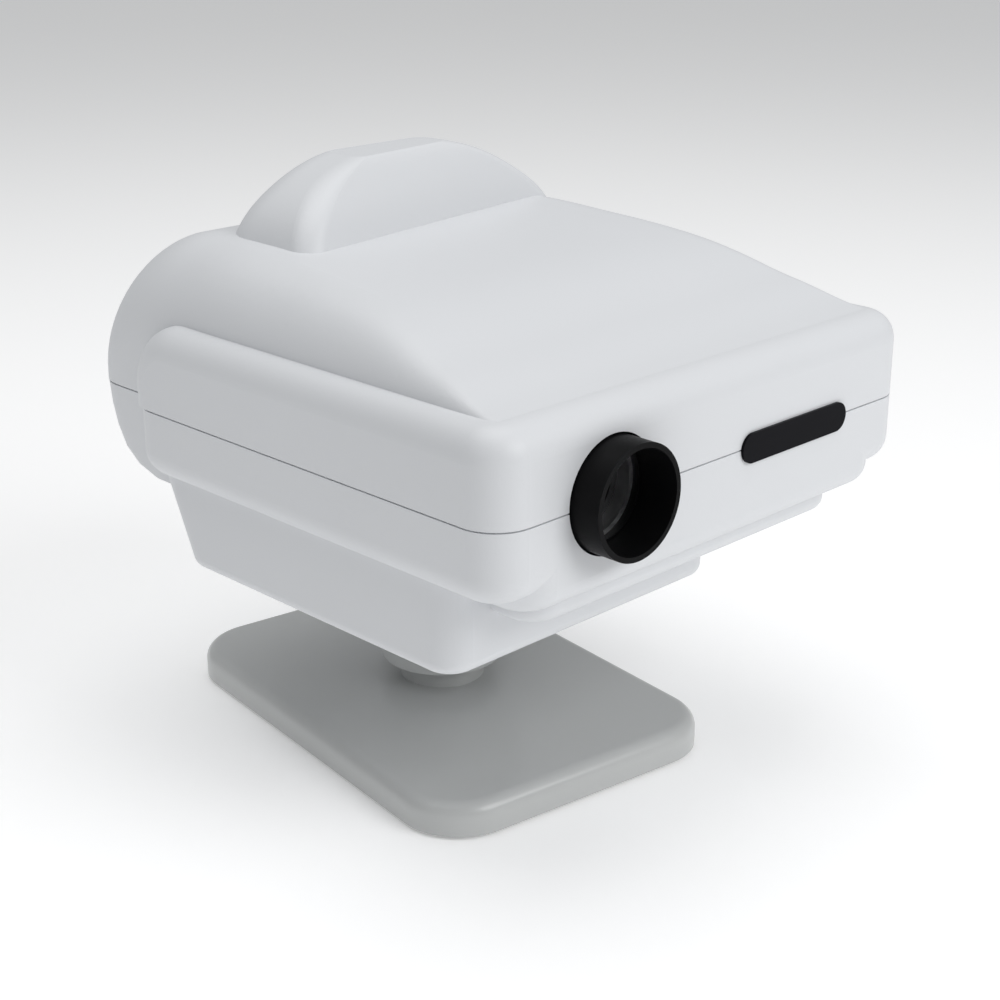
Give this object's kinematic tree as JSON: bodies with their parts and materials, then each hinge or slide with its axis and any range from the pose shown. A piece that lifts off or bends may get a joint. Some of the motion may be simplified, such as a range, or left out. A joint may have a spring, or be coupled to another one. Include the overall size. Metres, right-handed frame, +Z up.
{
  "type": "chart projector",
  "caption": "Moulded vision-chart projector with a focusing lens barrel and remote window, on a tilting and swivelling pedestal with a flat base plate.",
  "frame": {"origin": "where the swivel axis meets the base plate's underside", "axes": "+Z up along the swivel axis, -Y the way the lens looks at rest, +X to the right as seen from the front"},
  "size_m": [0.24, 0.2757, 0.248],
  "materials": {
    "black_barrel": "black anodised",
    "black_plastic": "satin",
    "circuit_board": "solder mask",
    "disc_sheet": "black anodised",
    "glass": "coated",
    "housing": "satin moulded, fine texture",
    "lamp": "phosphor dome",
    "motor_can": "satin",
    "rubber_foot": "matt",
    "sheet_metal": "plain sheet",
    "smoke_window": "polished",
    "stand_paint": "gloss enamel",
    "steel": "bright",
    "white_nylon": "natural"
  },
  "bodies": {
    "stand": {"base_pad": "rubber_foot", "base_plate": "stand_paint", "pedestal_post": "stand_paint", "thrust_washer": "white_nylon", "swivel_nut": "steel"},
    "head": {"swivel_head": "stand_paint", "tilt_axle": "steel"},
    "knob": {"tilt_knob": "black_plastic"},
    "projector": {"upper_cover": "housing", "lower_case": "housing", "receiver_window": "smoke_window", "tilt_bracket": "sheet_metal", "floor_stiffener": "steel", "bracket_screws": "steel", "chassis_standoffs": "sheet_metal", "chassis_plate": "sheet_metal", "bench_front_wall": "sheet_metal", "bench_rear_wall": "sheet_metal", "chart_motor": "motor_can", "mask_motor": "motor_can", "lens_tube": "sheet_metal", "condenser_cell": "black_plastic", "condenser_front_lens": "glass", "condenser_rear_lens": "glass", "led_board": "circuit_board", "led_lamp": "lamp", "lamp_spacers": "white_nylon", "heat_sink": "sheet_metal", "lamp_saddle": "sheet_metal", "fan_frame": "black_plastic", "main_board": "circuit_board", "board_standoffs": "sheet_metal", "processor_chip": "black_plastic", "board_sockets": "black_plastic", "board_capacitors": "black_plastic", "power_supply": "circuit_board", "supply_standoffs": "sheet_metal", "receiver_board": "circuit_board", "receiver_sensor": "black_plastic", "receiver_posts": "white_nylon", "rear_panel": "sheet_metal", "power_inlet": "black_plastic", "switch_bezel": "black_plastic", "rocker_pin": "steel", "fuse_holder": "black_plastic", "case_screws": "steel"},
    "focus_ring": {"focus_barrel": "black_barrel"},
    "objective": {"objective_cell": "black_plastic", "objective_front_lens": "glass", "objective_rear_lens": "glass"},
    "chart_wheel": {"chart_disc": "disc_sheet"},
    "mask_wheel": {"mask_disc": "disc_sheet"},
    "chart_drive": {"chart_pinion": "steel"},
    "mask_drive": {"mask_pinion": "steel"},
    "fan_rotor": {"fan_impeller": "black_plastic"},
    "switch_rocker": {"power_rocker": "black_plastic"},
    "fuse_plug": {"fuse_cap": "black_plastic"}
  },
  "joints": [
    {"name": "swivel", "type": "hinge", "parent": "stand", "child": "head", "pos_m": [0, 0, 0.036], "axis": [0, 0, 1], "range_deg": [-170, 170]},
    {"name": "tilt", "type": "hinge", "parent": "head", "child": "projector", "pos_m": [0, 0, 0.072], "axis": [1, 0, 0], "range_deg": [-15, 15]},
    {"name": "tilt_knob_turn", "type": "hinge", "parent": "head", "child": "knob", "pos_m": [0.032, 0, 0.072], "axis": [1, 0, 0], "range_deg": [-180, 180]},
    {"name": "focus_turn", "type": "hinge", "parent": "projector", "child": "focus_ring", "pos_m": [-0.062, -0.14, 0.157], "axis": [0, 1, 0], "range_deg": [-90, 90]},
    {"name": "objective_travel", "type": "slide", "parent": "projector", "child": "objective", "axis": [0, 1, 0], "range_m": [-0.008, 0.008]},
    {"name": "chart_select", "type": "hinge", "parent": "projector", "child": "chart_wheel", "pos_m": [-0.036, -0.03, 0.157], "axis": [0, 1, 0], "continuous": true},
    {"name": "chart_drive_turn", "type": "hinge", "parent": "projector", "child": "chart_drive", "pos_m": [-0.01, -0.027, 0.157], "axis": [0, 1, 0], "continuous": true},
    {"name": "mask_select", "type": "hinge", "parent": "projector", "child": "mask_wheel", "pos_m": [-0.036, -0.058, 0.157], "axis": [0, 1, 0], "continuous": true},
    {"name": "mask_drive_turn", "type": "hinge", "parent": "projector", "child": "mask_drive", "pos_m": [-0.01, -0.06, 0.157], "axis": [0, 1, 0], "continuous": true},
    {"name": "fan_spin", "type": "hinge", "parent": "projector", "child": "fan_rotor", "pos_m": [-0.062, 0.0507, 0.165], "axis": [0, 1, 0], "continuous": true},
    {"name": "power_switch", "type": "hinge", "parent": "projector", "child": "switch_rocker", "pos_m": [0.0425, 0.075, 0.1443], "axis": [1, 0, 0], "range_deg": [-18, 0]},
    {"name": "fuse_cap_turn", "type": "hinge", "parent": "projector", "child": "fuse_plug", "pos_m": [0.018, 0.08, 0.1445], "axis": [0, 1, 0], "range_deg": [0, 90]}
  ],
  "couplings": [
    {"joint": "objective_travel", "follows": "focus_turn", "m_per_rad": 0.005093},
    {"joint": "chart_drive_turn", "follows": "chart_select", "ratio": -3.3333},
    {"joint": "mask_drive_turn", "follows": "mask_select", "ratio": -3.3333}
  ]
}
